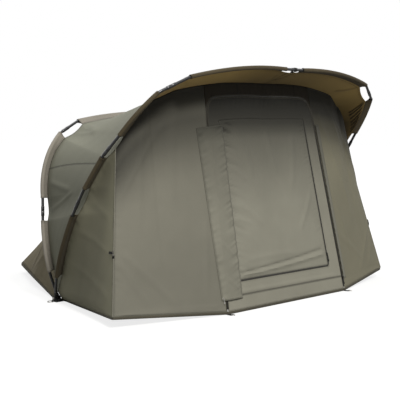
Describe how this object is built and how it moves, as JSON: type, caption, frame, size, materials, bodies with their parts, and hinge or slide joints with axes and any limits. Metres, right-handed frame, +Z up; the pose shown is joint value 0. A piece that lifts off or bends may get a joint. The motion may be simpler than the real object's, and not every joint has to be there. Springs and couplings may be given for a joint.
{
  "type": "bivvy tent",
  "caption": "Two-rib bivvy tent with a forward leaning peak, a zipped door with a window, a hem round its foot and pivot blocks that let the ribs fold back.",
  "frame": {"origin": "on the ground, on the centre line and midway between the ends of the hem", "axes": "+X to the right seen from the front, +Y to the back, +Z up"},
  "size_m": [2.8676, 2.46, 1.497],
  "materials": {
    "moulding": "moulded, satin black",
    "steel": "plated",
    "tube": "black coated tube",
    "front_sleeve_cloth": "coated woven, brown olive",
    "rear_sleeve_cloth": "coated woven, pale",
    "roof_cloth": "coated woven, olive",
    "wall_cloth": "coated woven, grey olive",
    "zip": "woven tape and coil",
    "webbing": "woven webbing"
  },
  "bodies": {
    "base": {"pivot_block_left": "moulding", "pivot_block_right": "moulding", "pivot_bolt_left": "steel", "pivot_bolt_right": "steel", "hem": "wall_cloth", "hem_tab_left": "webbing", "hem_tab_right": "webbing", "rear_wall_left": "roof_cloth", "rear_wall_right": "roof_cloth", "front_panel_left": "wall_cloth", "front_panel_right": "wall_cloth", "side_panel_left": "wall_cloth", "side_panel_right": "wall_cloth", "storm_flap_left": "wall_cloth", "storm_flap_right": "wall_cloth", "toggle_left": "webbing", "toggle_right": "webbing", "header": "wall_cloth", "door": "wall_cloth", "window": "wall_cloth", "door_zip": "zip", "window_zip": "zip"},
    "rear_frame": {"rear_foot_left": "moulding", "rear_foot_right": "moulding", "rear_pole_1_left": "tube", "rear_pole_1_right": "tube", "rear_pole_2_left": "tube", "rear_pole_2_right": "tube", "rear_pole_top": "tube", "rear_sleeve_1_left": "rear_sleeve_cloth", "rear_sleeve_1_right": "rear_sleeve_cloth", "rear_sleeve_2_left": "rear_sleeve_cloth", "rear_sleeve_2_right": "rear_sleeve_cloth", "rear_sleeve_top": "rear_sleeve_cloth", "roof_lower_left": "roof_cloth", "roof_lower_right": "roof_cloth", "roof_upper_left": "roof_cloth", "roof_upper_right": "roof_cloth"},
    "front_frame": {"front_foot_left": "moulding", "front_foot_right": "moulding", "front_pole_1_left": "tube", "front_pole_1_right": "tube", "front_pole_2_left": "tube", "front_pole_2_right": "tube", "front_pole_3_left": "tube", "front_pole_3_right": "tube", "front_pole_4_left": "tube", "front_pole_4_right": "tube", "front_sleeve_1_left": "front_sleeve_cloth", "front_sleeve_1_right": "front_sleeve_cloth", "front_sleeve_2_left": "front_sleeve_cloth", "front_sleeve_2_right": "front_sleeve_cloth", "front_sleeve_3_left": "front_sleeve_cloth", "front_sleeve_3_right": "front_sleeve_cloth", "front_sleeve_4_left": "front_sleeve_cloth", "front_sleeve_4_right": "front_sleeve_cloth"},
    "peg_ring_left": {"peg_ring_left": "steel"},
    "peg_ring_right": {"peg_ring_right": "steel"},
    "door_slider": {"door_slider": "zip"},
    "window_slider": {"window_slider": "zip"}
  },
  "joints": [
    {"name": "rear_fold", "type": "hinge", "parent": "base", "child": "rear_frame", "pos_m": [0, 0, 0.024], "axis": [-1, 0, 0], "range_deg": [0, 79], "deforming": ["rear_wall_left", "rear_wall_right", "front_panel_left", "front_panel_right", "side_panel_left", "side_panel_right", "storm_flap_left", "storm_flap_right", "toggle_left", "toggle_right", "header", "door", "window", "door_zip", "window_zip"]},
    {"name": "front_fold", "type": "hinge", "parent": "rear_frame", "child": "front_frame", "pos_m": [0, 0, 0.024], "axis": [-1, 0, 0], "range_deg": [0, 40], "deforming": ["roof_lower_left", "roof_lower_right", "roof_upper_left", "roof_upper_right"]},
    {"name": "peg_ring_left_swing", "type": "hinge", "parent": "base", "child": "peg_ring_left", "pos_m": [-0.9894, 0, 0.0075], "axis": [0, 1, 0], "range_deg": [0, 80]},
    {"name": "peg_ring_right_swing", "type": "hinge", "parent": "base", "child": "peg_ring_right", "pos_m": [0.9894, 0, 0.0075], "axis": [0, -1, 0], "range_deg": [0, 80]},
    {"name": "door_zip_run", "type": "slide", "parent": "base", "child": "door_slider", "axis": [-0.1137, 0.1551, 0.9813], "range_m": [0, 1.08]},
    {"name": "window_zip_run", "type": "slide", "parent": "base", "child": "window_slider", "axis": [-0.1032, 0.1498, 0.9833], "range_m": [0, 0.88]}
  ],
  "couplings": [
    {"joint": "front_fold", "follows": "rear_fold", "ratio": 0.506}
  ]
}
